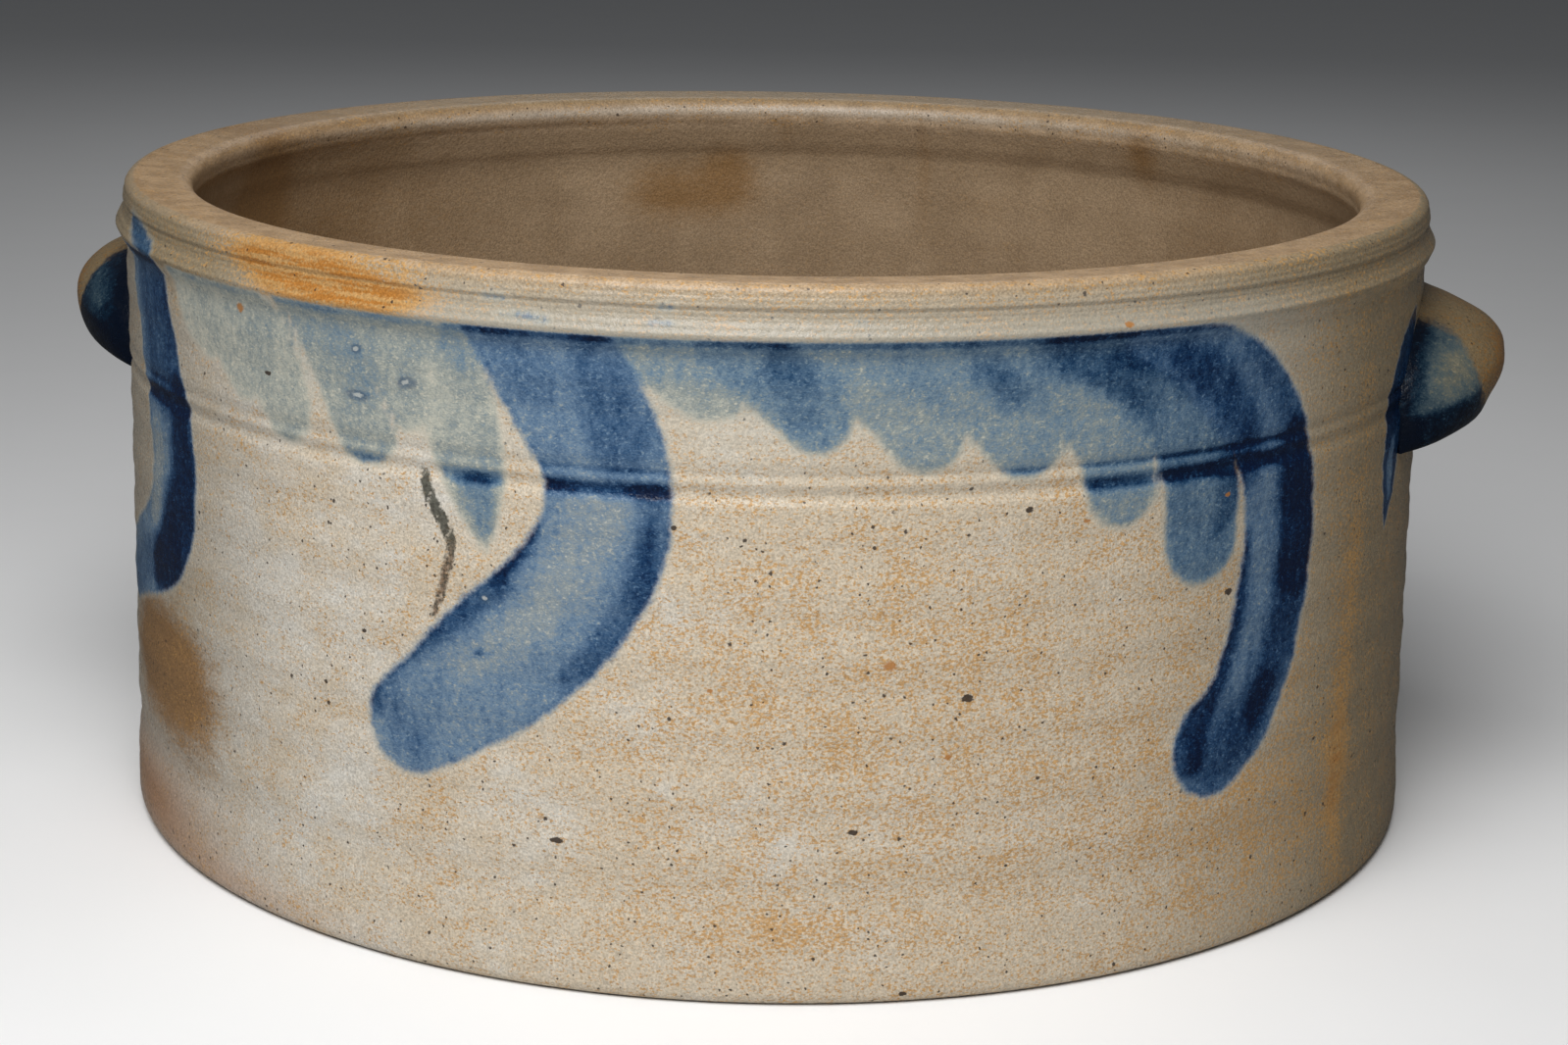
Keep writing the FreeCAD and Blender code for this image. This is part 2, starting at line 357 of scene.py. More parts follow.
# Cobalt brushed on the wall round the ends of the lugs, as angles from the lug's middle
LUG_STROKE = [(-11.0, 134, 3.5), (-14.2, 126, 6.5), (-16.0, 117, 8.5), (-16.8, 108, 7.5),
              (-17.6, 99, 5.2), (-18.0, 91, 2.2), (-17.9, 87, 0.6)]
LUG_TAIL = [(-17.0, 108, 1.2), (-17.4, 101, 2.6), (-17.7, 94, 1.3)]

# One long scratch down the front
SCAR = [(-27.4, 115, 1.1), (-26.4, 108, 1.7), (-25.0, 101, 1.5), (-25.0, 96, 1.2),
        (-25.5, 90, 1.2), (-26.6, 82, 0.8)]

NO_PAINT = 20.0           # mm outside every stroke
SIDES = (0.0, 180.0)      # the decorated front, and the same again on the back
LUG_MIDDLES = (90.0 - FRONT_TURN, -90.0 - FRONT_TURN)


def curve_through(points, per_span):
    """Smooth line through rows of numbers (Catmull-Rom), as an array."""
    rows = np.array(points, float)
    rows = np.vstack([2 * rows[0] - rows[1], rows, 2 * rows[-1] - rows[-2]])
    line = []
    for i in range(1, len(rows) - 2):
        a, b, c, d = rows[i - 1:i + 3]
        for t in np.linspace(0.0, 1.0, per_span, endpoint=False):
            line.append(0.5 * (2 * b + (c - a) * t + (2 * a - 5 * b + 4 * c - d) * t * t
                               + (3 * b - a - 3 * c + d) * t ** 3))
    line.append(rows[-2])
    return np.array(line)


def stroke_field(angle, height, stroke):
    """How far inside a stroke each point is (mm), and its place across it (-1 to 1)."""
    line = curve_through(stroke, 6)
    middle = line[:, 0].mean()
    offset = (angle - middle + 180.0) % 360.0 - 180.0
    x, y = offset * MM_PER_DEGREE, height
    px, py = (line[:, 0] - middle) * MM_PER_DEGREE, line[:, 1]
    inside = np.full(angle.shape, -FAR_AWAY)
    across = np.zeros(angle.shape)
    for i in range(len(line) - 1):
        dx, dy = px[i + 1] - px[i], py[i + 1] - py[i]
        t = np.clip(((x - px[i]) * dx + (y - py[i]) * dy) / (dx * dx + dy * dy), 0.0, 1.0)
        away = np.hypot(x - px[i] - t * dx, y - py[i] - t * dy)
        width = line[i, 2] + t * (line[i + 1, 2] - line[i, 2])
        side = np.sign((x - px[i]) * dy - (y - py[i]) * dx)
        better = width - away > inside
        inside = np.where(better, width - away, inside)
        across = np.where(better, -side * away / width, across)
    return inside, across


def soft_sum(angle, height, places):
    """Sum of soft-edged strokes, each as much as its own change of strength."""
    total = np.zeros(angle.shape)
    for change, softness, stroke in places:
        inside = stroke_field(angle, height, stroke)[0]
        cover = np.clip(0.5 + inside / softness, 0.0, 1.0)
        total += change * cover * cover * (3.0 - 2.0 * cover)
    return total


def best_of(angle, height, strokes):
    """How far inside the nearest of these strokes each point is (mm)."""
    return np.maximum.reduce([stroke_field(angle, height, stroke)[0] for stroke in strokes])


def brush_fields(angle, height):
    """Every brushwork value that the body's material reads."""
    fields = {}
    for name in ("wash_edge", "comma_edge", "gap_edge", "band_edge", "lug_edge", "tail_edge"):
        fields[name] = np.full(angle.shape, -NO_PAINT)
    for name in ("wash_strength", "comma_across", "accent"):
        fields[name] = np.zeros(angle.shape)
    for side in SIDES:
        turned = angle - side
        for strength, dab in DABS:
            inside = stroke_field(turned, height, dab)[0]
            fields["wash_edge"] = np.maximum(fields["wash_edge"], inside)
            cover = np.clip(0.5 + inside / 3.0, 0.0, 1.0) * strength
            total = fields["wash_strength"]
            fields["wash_strength"] = np.maximum(total, cover) + 0.12 * np.minimum(total, cover)
        for comma in COMMAS:
            inside, across = stroke_field(turned, height, comma)
            better = inside > fields["comma_edge"]
            fields["comma_edge"] = np.where(better, inside, fields["comma_edge"])
            fields["comma_across"] = np.where(better, across, fields["comma_across"])
        fields["accent"] += soft_sum(turned, height, ACCENTS)
        fields["gap_edge"] = np.maximum(fields["gap_edge"], best_of(turned, height, GAPS))
        fields["band_edge"] = np.maximum(fields["band_edge"], best_of(turned, height, BAND_TOUCHES))
    for middle in LUG_MIDDLES:
        for mirror in (1, -1):
            for name, stroke in (("lug_edge", LUG_STROKE), ("tail_edge", LUG_TAIL)):
                turned = [(mirror * a + middle, z, w) for a, z, w in stroke]
                inside = stroke_field(angle, height, turned)[0]
                fields[name] = np.maximum(fields[name], inside)
    fields["scar_edge"] = stroke_field(angle, height, SCAR)[0]
    return fields


# Soft patches of colour: (angle, height, half width in degrees, half height in mm, strength)
BROWN_PATCHES = [
    (-65, 48, 9, 16, 1.9),
    (-56, 42, 6, 18, 0.9),
    (54.6, 50, 1.8, 40, 0.5),
    (128, 60, 20, 40, 0.6),
    (-150, 30, 25, 14, 0.5),
    (175, 90, 12, 25, 0.25),
]
PINK_PATCHES = [
    (-68, 11, 14, 11, 1.1),
    (-50, 4, 12, 5, 0.5),
    (150, 8, 30, 9, 0.8),
]
FLASH_PATCHES = [
    (-38, 154, 7, 6, 2.4),
    (-44, 156, 6, 3, 1.2),
    (-31, 152, 5, 4, 1.4),
    (0, 18, 9, 5, 0.6),
    (12, 62, 24, 42, 0.35),
    (40, 30, 14, 20, 0.45),
    (54.3, 34, 1.9, 24, 1.2),
    (55.4, 85, 1.9, 24, 0.6),
    (120, 152, 16, 6, 1.4),
    (-160, 70, 30, 30, 0.35),
    (143, 40, 2.0, 30, 1.3),
]
INNER_STAINS = [
    (-174.5, 136, 3.5, 9, 1.3),
    (-167, 132, 5, 8, 1.0),
    (-171, 126, 8, 6, 0.6),
    (-111, 140, 4, 16, 1.5),
    (135, 150, 2.5, 8, 0.9),
    (163, 140, 1.0, 24, 0.6),
    (179, 149, 1.0, 9, 0.5),
    (155, 128, 3, 6, 0.4),
    (20, 60, 14, 20, 0.6),
    (-40, 100, 10, 30, 0.5),
    (-116, 90, 30, 90, 0.95),
    (118, 90, 26, 80, 0.5),
]


def patches(angle, height, places):
    """Sum of soft round patches on the wall."""
    total = np.zeros(angle.shape)
    for where, level, wide, tall, strength in places:
        offset = (angle - where + 180.0) % 360.0 - 180.0
        total += strength * np.exp(-(offset / wide) ** 2 - ((height - level) / tall) ** 2)
    return np.clip(total, 0.0, 2.0)


# ---------------------------------------------------------------- colours and marks

def rgb(red, green, blue):
    """Opaque colour, in linear light."""
    return (red, green, blue, 1.0)


GREY_CLAY = rgb(0.575, 0.545, 0.485)
WARM_CLAY = rgb(0.525, 0.44, 0.325)
# kiln brown, also laid on as painted shade where the light falls off
TOAST_AND_SHADE = rgb(0.25, 0.195, 0.12)
FILM = rgb(0.40, 0.405, 0.37)
TAN_CLAY = rgb(0.405, 0.265, 0.14)
DARK_TAN = rgb(0.30, 0.19, 0.095)
INNER_CLAY = rgb(0.335, 0.24, 0.15)
INNER_SHADE = rgb(0.265, 0.185, 0.112)
ORANGE = rgb(0.47, 0.26, 0.085)
RUST = rgb(0.38, 0.15, 0.026)
BROWN = rgb(0.25, 0.13, 0.045)
SEEP = rgb(0.21, 0.11, 0.037)
PINK = rgb(0.40, 0.235, 0.14)
SPECK = rgb(0.045, 0.032, 0.024)
SCAR_OLIVE = rgb(0.07, 0.072, 0.055)
SCAR_BROWN = rgb(0.19, 0.125, 0.08)
SCAR_BLACK = rgb(0.022, 0.022, 0.016)
BLISTER_EDGE = rgb(0.03, 0.07, 0.13)
BLISTER_TOP = rgb(0.46, 0.47, 0.44)
WASH_TINT = rgb(1.0, 0.98, 0.91)
LUG_SHADE = rgb(0.55, 0.46, 0.31)
COBALT_STOPS = [
    (0.00, rgb(0.56, 0.52, 0.45)),
    (0.20, rgb(0.40, 0.41, 0.375)),
    (0.36, rgb(0.235, 0.27, 0.28)),
    (0.50, rgb(0.135, 0.205, 0.285)),
    (0.62, rgb(0.074, 0.135, 0.225)),
    (0.76, rgb(0.025, 0.068, 0.145)),
    (0.88, rgb(0.004, 0.026, 0.080)),
    (1.00, rgb(0.002, 0.008, 0.032)),
]

# Iron pits, rust spots and blisters: (angle, height, half length, half height in mm)
PITS = [(-16.1, 35.3, 1.8, 0.7), (6.4, 40.2, 1.3, 0.6), (14.9, 69.5, 1.5, 0.9),
        (10.4, 2.6, 0.9, 0.6), (-43.3, 129.8, 1.3, 0.5), (19.3, 110.6, 0.9, 0.7),
        (-7.2, 107.4, 0.7, 0.5), (-33.0, 76.0, 0.6, 0.5), (-37.0, 62.0, 0.6, 0.6),
        (38.0, 85.8, 1.1, 0.9)]
RUST_SPOTS = [(8.9, 77.6, 1.4, 1.1), (-46.7, 143.2, 1.4, 1.0), (26.6, 149.8, 1.0, 0.7),
              (37.4, 108.4, 0.9, 0.5), (-4.4, 71.8, 0.7, 0.5), (13.5, 56.5, 0.8, 0.7),
              (24.1, 107.0, 0.9, 0.4)]
BLISTERS = [(-33.5, 129.2, 2.2, 0.7), (-28.7, 133.6, 1.4, 0.9), (-33.4, 139.4, 0.9, 0.7),
            (-22.0, 88.2, 0.8, 0.6)]

# Iron specks all over the outside: (spacing in mm, share of places left empty, share filled)
IRON_SPECKS = [(2.2, 0.56, 0.17), (6.0, 0.62, 0.10)]

# How the clay varies from place to place: the body keeps each of these on its vertices
CLAY_FIELDS = ("warm_side", "toast", "tan", "inner", "brown", "pink", "flash", "stain")

GLAZE_IOR = 1.5
GLAZE_SPECULAR = 0.32
GLAZE_BUMP = 0.2          # mm


# ---------------------------------------------------------------- materials

class Shader:
    """A material's node tree, with short calls for the nodes that are used here."""

    def __init__(self, name):
        self.material = bpy.data.materials.new(name)
        self.material.use_nodes = True
        self.tree = self.material.node_tree
        self.tree.nodes.clear()
        self.output = self.tree.nodes.new("ShaderNodeOutputMaterial")
        self.surface = self.tree.nodes.new("ShaderNodeBsdfPrincipled")
        self.tree.links.new(self.surface.outputs[0], self.output.inputs["Surface"])

    def feed(self, socket, value):
        """Sets a socket to a number or colour, or links another socket to it."""
        if isinstance(value, bpy.types.NodeSocket):
            self.tree.links.new(value, socket)
        else:
            socket.default_value = value

    def place(self):
        """Position on the object, in metres."""
        return self.tree.nodes.new("ShaderNodeTexCoord").outputs["Object"]

    def stretched(self, scale):
        """Position on the object with each axis scaled."""
        node = self.tree.nodes.new("ShaderNodeMapping")
        self.feed(node.inputs["Vector"], self.place())
        node.inputs["Scale"].default_value = scale
        return node.outputs[0]

    def shaken(self, size, amount):
        """Position on the object, moved about by noise of this size by this much, in mm."""
        node = self.tree.nodes.new("ShaderNodeTexNoise")
        self.feed(node.inputs["Vector"], self.place())
        node.inputs["Scale"].default_value = 1.0 / (size * MM)
        moved = self.tree.nodes.new("ShaderNodeVectorMath")
        moved.operation = "MULTIPLY_ADD"
        self.feed(moved.inputs[0], node.outputs["Color"])
        moved.inputs[1].default_value = [2.0 * amount * MM] * 3
        self.feed(moved.inputs[2], self.place())
        return moved.outputs[0]

    def value(self, name):
        """A number kept on the mesh's vertices."""
        node = self.tree.nodes.new("ShaderNodeAttribute")
        node.attribute_name = name
        return node.outputs["Fac"]

    def math(self, operation, a, b=0.0, c=0.0, clamp=False):
        """Result of one math node on numbers or sockets."""
        node = self.tree.nodes.new("ShaderNodeMath")
        node.operation = operation
        node.use_clamp = clamp
        for socket, given in zip(node.inputs, (a, b, c)):
            self.feed(socket, given)
        return node.outputs[0]

    def add(self, first, *others):
        """Sum of numbers or sockets."""
        total = first
        for other in others:
            total = self.math("ADD", total, other)
        return total

    def multiply(self, first, *others):
        """Product of numbers or sockets."""
        total = first
        for other in others:
            total = self.math("MULTIPLY", total, other)
        return total

    def less(self, value):
        """What is left of 1 after this value."""
        return self.math("SUBTRACT", 1.0, value)

    def swing(self, value, amount):
        """A value between 0 and 1 made to swing about zero, by this much in all."""
        return self.math("MULTIPLY", self.math("SUBTRACT", value, 0.5), amount)

    def noise(self, size, detail=2.0, rough=0.5, vector=None):
        """Noise between 0 and 1 whose features are about this many millimetres across."""
        node = self.tree.nodes.new("ShaderNodeTexNoise")
        self.feed(node.inputs["Vector"], vector or self.place())
        node.inputs["Scale"].default_value = 1.0 / (size * MM)
        node.inputs["Detail"].default_value = detail
        node.inputs["Roughness"].default_value = rough
        return node.outputs["Fac"]

    def cells(self, size, vector):
        """Distance to the nearest of many scattered points, in cell sizes, and each cell's colour."""
        node = self.tree.nodes.new("ShaderNodeTexVoronoi")
        self.feed(node.inputs["Vector"], vector)
        node.inputs["Scale"].default_value = 1.0 / (size * MM)
        return node.outputs["Distance"], node.outputs["Color"]

    def step(self, value, low, high, to_low=0.0, to_high=1.0):
        """Smooth step of a value from low to high."""
        node = self.tree.nodes.new("ShaderNodeMapRange")
        node.interpolation_type = "SMOOTHSTEP"
        for socket, given in zip(node.inputs, (value, low, high, to_low, to_high)):
            self.feed(socket, given)
        return node.outputs[0]

    def mix(self, factor, a, b, blend="MIX"):
        """Colour that goes from a to b with the factor."""
        node = self.tree.nodes.new("ShaderNodeMix")
        node.data_type = "RGBA"
        node.blend_type = blend
        for index, given in ((0, factor), (6, a), (7, b)):
            self.feed(node.inputs[index], given)
        return node.outputs[2]

    def between(self, factor, a, b):
        """Number that goes from a to b with the factor."""
        node = self.tree.nodes.new("ShaderNodeMix")
        for index, given in ((0, factor), (2, a), (3, b)):
            self.feed(node.inputs[index], given)
        return node.outputs[0]

    def ramp(self, value, stops):
        """Colour that a value has among these stops."""
        node = self.tree.nodes.new("ShaderNodeValToRGB")
        self.feed(node.inputs[0], value)
        elements = node.color_ramp.elements
        while len(elements) < len(stops):
            elements.new(0.5)
        for element, (place, colour) in zip(elements, stops):
            element.position = place
            element.color = colour
        return node.outputs[0]

    def bump(self, height, distance):
        """Normal of a skin whose height of 1 stands this many millimetres proud."""
        node = self.tree.nodes.new("ShaderNodeBump")
        node.inputs["Strength"].default_value = 1.0
        node.inputs["Distance"].default_value = distance * MM
        self.feed(node.inputs["Height"], height)
        return node.outputs[0]


# In every function below, s is the Shader that is being built.

def spot_distance(s, places, ragged):
    """Least distance to any of these spots on the wall, where 1 is a spot's edge."""
    nearest = FAR_AWAY
    for angle, level, long, tall in places:
        along = s.math("SUBTRACT", s.value("around"), angle * MM_PER_DEGREE)
        along = s.math("DIVIDE", along, long)
        rise = s.math("SUBTRACT", s.value("level"), level)
        rise = s.math("DIVIDE", rise, tall)
        squares = s.add(s.multiply(along, along), s.multiply(rise, rise))
        nearest = s.math("MINIMUM", nearest, s.math("SQRT", squares))
    return s.add(nearest, ragged)


def base_clay(s, look, blush):
    """Grey to warm clay, tan on the rim, browned by the kiln and darkened with painted shade at the
    sides, and darker inside.
    """
    cloud = s.noise(24.0, 3.0, 0.55)
    clouds = s.add(s.multiply(cloud, 0.6), s.multiply(blush, 0.4))
    warm = s.step(s.add(clouds, look["warm_side"]), 0.42, 0.76)
    colour = s.mix(s.multiply(warm, 0.9), GREY_CLAY, WARM_CLAY)
    colour = s.mix(look["tan"], colour, s.mix(s.step(blush, 0.35, 0.65), TAN_CLAY, DARK_TAN))
    # kiln brown together with painted shade on the sides turned from the light
    colour = s.mix(look["toast"], colour, TOAST_AND_SHADE)
    colour = s.mix(look["inner"], colour, s.mix(s.step(cloud, 0.3, 0.7), INNER_CLAY, INNER_SHADE))
    pink = s.math("MULTIPLY", look["pink"], 0.92, clamp=True)
    return s.mix(pink, colour, PINK), warm


def scorched_clay(s, colour, look, blush, freckle):
    """Brown scorching outside and brown seepage inside, both broken up."""
    mottled = s.add(s.swing(blush, 0.9), s.swing(freckle, 1.5))
    scorched = s.step(s.add(look["brown"], mottled), 0.15, 1.35)
    colour = s.mix(s.multiply(scorched, 0.93), colour, BROWN)
    streaky = s.noise(3.0, 4.0, 0.65, s.stretched((1.0, 1.0, 3.0)))
    seeped = s.step(s.add(look["stain"], s.swing(streaky, 0.8)), 0.1, 1.3)
    return s.mix(s.multiply(seeped, 0.8), colour, SEEP)


def freckled_clay(s, colour, look, warm, freckle):
    """Orange freckles, closer together on warm clay, and rusty flashing along the turned lines."""
    amount = s.add(s.multiply(warm, 0.05), s.multiply(look["flash"], 0.17))
    patchy = s.swing(s.noise(9.0, 3.0, 0.6), 0.25)
    orange = s.step(s.add(freckle, amount, patchy), 0.61, 0.65)
    less_inside = s.math("MULTIPLY_ADD", look["inner"], -0.7, 0.85)
    colour = s.mix(s.multiply(orange, less_inside), colour, ORANGE)
    lines = s.noise(1.0, 1.0, 0.5, s.stretched((0.06, 0.06, 1.0)))
    grainy = s.step(s.add(s.multiply(lines, 0.5), s.multiply(freckle, 0.5)), 0.44, 0.55)
    rusty = s.multiply(s.step(look["flash"], 0.6, 1.9), grainy)
    return s.mix(s.multiply(rusty, 0.9), colour, RUST)


def specked_clay(s, colour, look):
    """Small dark specks of iron on the outside."""
    for spacing, empty, reach in IRON_SPECKS:
        distance, identity = s.cells(spacing, s.shaken(0.7, 0.45))
        chosen = s.multiply(s.math("GREATER_THAN", identity, empty), s.less(look["inner"]))
        dot = s.multiply(chosen, s.step(distance, reach * 0.6, reach, 1.0, 0.0))
        colour = s.mix(s.multiply(dot, 0.92), colour, SPECK)
    return colour


def clay_colour(s, look):
    """Fired clay under its salt glaze, where look gives a number or socket for each of CLAY_FIELDS."""
    blush = s.noise(7.0, 3.0, 0.6, s.stretched((1.0, 1.0, 2.2)))
    freckle = s.noise(0.95, 3.0, 0.72, s.stretched((1.0, 1.0, 1.6)))
    colour, warm = base_clay(s, look, blush)
    colour = scorched_clay(s, colour, look, blush, freckle)
    colour = freckled_clay(s, colour, look, warm, freckle)
    dust = s.step(s.noise(0.55, 2.0, 0.6), 0.24, 0.76, 0.72, 1.22)
    colour = s.mix(1.0, colour, dust, "MULTIPLY")
    return specked_clay(s, colour, look)


def cobalt_over(s, clay, density, cover):
    """Cobalt of this density where cover is 1, over the clay."""
    mottle = s.swing(s.noise(1.7, 4.0, 0.72), 0.46)
    pores = s.swing(s.noise(0.6, 2.0, 0.6, s.stretched((1.0, 1.0, 2.0))), 0.34)
    streaks = s.swing(s.noise(3.6, 2.0, 0.5, s.stretched((1.0, 1.0, 0.35))), 0.22)
    # painted glints: small paler flecks thin the cobalt
    painted_glint = s.step(s.noise(1.0, 2.0, 0.6, s.stretched((1.0, 1.0, 1.4))), 0.56, 0.70)
    uneven = s.add(mottle, pores, streaks, s.multiply(painted_glint, -0.16))
    thick = s.math("ADD", density, s.multiply(uneven, cover), clamp=True)
    return s.mix(cover, clay, s.ramp(thick, COBALT_STOPS))


def satin(s):
    """Roughness of the salt glaze, uneven over a few millimetres."""
    return s.step(s.noise(3.0, 3.0, 0.6), 0.3, 0.7, 0.24, 0.38)


def glaze(s, colour, rough, peel):
    """Salt glaze over a colour: satin, with its fine pebbled skin."""
    s.feed(s.surface.inputs["Base Color"], colour)
    s.feed(s.surface.inputs["Roughness"], rough)
    s.surface.inputs["IOR"].default_value = GLAZE_IOR
    s.surface.inputs["Specular IOR Level"].default_value = GLAZE_SPECULAR
    pebbles = s.noise(1.3, 2.0, 0.5)
    grit = s.noise(0.5, 2.0, 0.6)
    skin = s.add(pebbles, s.multiply(grit, 0.6))
    s.feed(s.surface.inputs["Normal"], s.bump(s.multiply(skin, peel), GLAZE_BUMP))
    return s.material


def painted_clay(s, clay, fuzz, ragged):
    """The cobalt swag, its commas, its touches on the band and the paint round the lugs."""
    level = s.value("level")
    below_band = s.step(s.add(level, s.multiply(fuzz, 0.8)), 147.9, 148.7, 1.0, 0.0)
    wash = s.step(s.add(s.value("wash_edge"), ragged), -1.3, 1.6)
    comma = s.step(s.add(s.value("comma_edge"), ragged), -1.5, 1.5)
    gap = s.step(s.add(s.value("gap_edge"), s.multiply(fuzz, 1.2)), -0.9, 0.5, 1.0, 0.15)
    wash = s.multiply(wash, below_band, gap)
    comma = s.multiply(comma, below_band)
    comma_rim = s.step(s.math("ABSOLUTE", s.value("comma_across")), 0.80, 0.97)
    comma_strength = s.add(0.53, s.multiply(comma_rim, 0.07))
    cover = s.math("MAXIMUM", wash, comma)
    density = s.between(comma, s.value("wash_strength"), comma_strength)
    density = s.add(density, s.multiply(s.value("accent"), cover))
    touch = s.step(s.add(s.value("band_edge"), ragged), -1.6, 1.8)
    cover = s.math("MAXIMUM", cover, touch)
    density = s.between(touch, density, 0.74)
    lug = s.step(s.add(s.value("lug_edge"), ragged), -0.9, 0.9)
    cover = s.math("MAXIMUM", cover, lug)
    tail = s.step(s.add(s.value("tail_edge"), ragged), -1.0, 1.0)
    density = s.between(lug, density, s.between(tail, 0.90, 0.62))
    pooled = s.multiply(s.value("pool"), cover, density, 0.85)
    density = s.math("ADD", density, pooled, clamp=True)
    colour = cobalt_over(s, clay, density, cover)
    not_comma = s.multiply(s.math("MAXIMUM", wash, touch), s.less(comma))
    return s.mix(not_comma, colour, WASH_TINT, "MULTIPLY")


def marked_clay(s, colour, fuzz, wobble, ragged):
    """The scratch, iron pits, rust spots and blisters that sit in known places on the front."""
    scar = s.step(s.add(s.value("scar_edge"), s.multiply(ragged, 0.9)), -0.3, 0.4)
    scar_colour = s.mix(s.step(s.value("level"), 94.0, 102.0), SCAR_BROWN, SCAR_OLIVE)
    scar_colour = s.mix(s.step(fuzz, -0.08, 0.12), scar_colour, SCAR_BLACK)
    colour = s.mix(s.multiply(scar, 0.9), colour, scar_colour)
    notch = s.multiply(fuzz, 1.4)
    pit = s.step(spot_distance(s, PITS, notch), 0.8, 1.1, 1.0, 0.0)
    colour = s.mix(s.multiply(pit, 0.95), colour, SPECK)
    rust = s.step(spot_distance(s, RUST_SPOTS, notch), 0.7, 1.2, 1.0, 0.0)
    colour = s.mix(s.multiply(rust, 0.85), colour, RUST)
    blister = spot_distance(s, BLISTERS, s.add(notch, s.multiply(wobble, 2.2)))
    colour = s.mix(s.step(blister, 1.0, 2.2, 0.62, 0.0), colour, BLISTER_EDGE)
    return s.mix(s.step(blister, 0.4, 0.8, 0.7, 0.0), colour, BLISTER_TOP)


def body_material():
    """Glazed clay with the swag and every mark of the thrown body."""
    s = Shader("salt_glazed_body")
    clay = clay_colour(s, {name: s.value(name) for name in CLAY_FIELDS})
    fuzz = s.swing(s.noise(0.8, 3.0, 0.7), 1.0)
    wobble = s.swing(s.noise(3.4, 2.0, 0.5), 1.0)
    ragged = s.add(s.multiply(fuzz, 1.7), s.multiply(wobble, 1.4))
    no_rust = s.step(s.value("flash"), 0.4, 1.2, 1.0, 0.0)
    clay = s.mix(s.multiply(s.value("film"), no_rust), clay, FILM)
    colour = painted_clay(s, clay, fuzz, ragged)
    colour = marked_clay(s, colour, fuzz, wobble, ragged)
    rough = s.add(satin(s), s.multiply(s.value("tan"), 0.05))
    return glaze(s, colour, rough, 1.0)


def lug_material():
    """Glazed clay with cobalt round the root and the underside of a lug, darkened all over with
    painted shade.
    """
    s = Shader("salt_glazed_lug")
    look = dict.fromkeys(CLAY_FIELDS, 0.0)
    # the lug's clay is darkened with painted shade
    look.update(warm_side=0.1, toast=0.7, tan=0.15, flash=s.value("rust"))
    clay = clay_colour(s, look)
    ragged = s.swing(s.noise(2.0, 3.0, 0.6), 3.0)
    cover = s.step(s.add(s.value("paint_edge"), ragged), -1.0, 1.2)
    colour = cobalt_over(s, clay, s.value("paint_strength"), cover)
    # painted shade: the whole lug is darkened and warmed
    colour = s.mix(0.9, colour, LUG_SHADE, "MULTIPLY")
    return glaze(s, colour, satin(s), 0.9)


# ---------------------------------------------------------------- pieces

def finish_piece(mesh, name, material, node):
    """Puts a mesh into the scene with its material, in the place of its CAD node."""
    piece = bpy.data.objects.new(name, mesh)
    bpy.context.scene.collection.objects.link(piece)
    piece.data.materials.append(material)
    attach(piece, "root")
    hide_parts(node)
    return piece


def body_grid():
    """Angle, height and radius of every vertex on the body, and whether it is on the outside."""
    outer, inner = outside_profile(), inside_profile()
    profile = np.array(outer + inner)
    outside = np.array([True] * len(outer) + [False] * len(inner))[:, None]
    angle = np.linspace(-180.0, 180.0, COLUMNS, endpoint=False)[None, :]
    radius, level = profile[:, :1], profile[:, 1:]
    away_from_middle = ramp_up(radius, 120.0, 150.0)
    radius = radius + relief(angle, level, outside) * away_from_middle
    level = level + ramp_up(level, 130.0, 160.0) * 0.35 * wander(angle, 4, 9)
    return np.broadcast_arrays(angle, level, radius, outside)


def clay_fields(angle, level, outside):
    """Every value but the brushwork that the body's material reads."""
    on_outside = outside.astype(float)
    fields = {"level": level}
    groove = bump(level - line_shift(angle), LINE_MIDDLE, 1.5)
    second = second_line(angle) * bump(level - line_shift(angle), LINE_MIDDLE + SECOND_LINE, 0.7)
    under_rim = bump(level, BAND_BOTTOM + 0.4, 0.8)
    fields["pool"] = np.clip(groove * 1.4 + second * 0.7 + under_rim * 0.6, 0.0, 1.0) * on_outside
    fields["warm_side"] = 0.26 * np.sin(np.radians(angle + 62.0)) * on_outside
    back = np.clip(-np.cos(np.radians(angle)), 0.0, 1.0)
    # outside: kiln brown with painted shade on the sides; inside: painted shade on the top of the rim
    # at the back
    fields["toast"] = np.where(outside, outer_toast_and_shade(angle, level),
                               0.7 * ramp_up(level, HEIGHT - 2.5, HEIGHT - 0.5) * back)
    on_front = ramp_up(np.abs(angle), 50.0, 38.0)
    film = 0.42 * ramp_up(level, 112.0, 138.0) - 0.30 * ramp_up(level, 150.0, 156.0)
    fields["film"] = film * on_front * on_outside * ramp_up(level, 158.0, 156.0)
    fields["inner"] = ramp_up(level, 152.0, 149.0) * (1.0 - on_outside)
    # painted highlight: the inner roll at the back is made paler by taking tan away
    painted_highlight_on_roll = 0.45 * back * bump(level, HEIGHT - 4.2, 1.6)
    inner_tan = 0.80 + 0.2 * ramp_up(level, 152.0, 159.0) - painted_highlight_on_roll
    outer_tan = 0.62 * ramp_up(level, 156.5, 159.5) + 0.20 * ramp_up(level, 147.0, 155.0)
    fields["tan"] = np.where(outside, outer_tan, inner_tan)
    seen_from_front = outside & (np.abs(angle) < 100.0)
    fields["around"] = np.where(seen_from_front, angle * MM_PER_DEGREE, FAR_AWAY)
    fields["brown"] = patches(angle, level, BROWN_PATCHES) * on_outside
    fields["pink"] = patches(angle, level, PINK_PATCHES) * on_outside
    fields["flash"] = patches(angle, level, FLASH_PATCHES) * on_outside
    fields["stain"] = patches(angle, level, INNER_STAINS) * (1.0 - on_outside)
    return fields


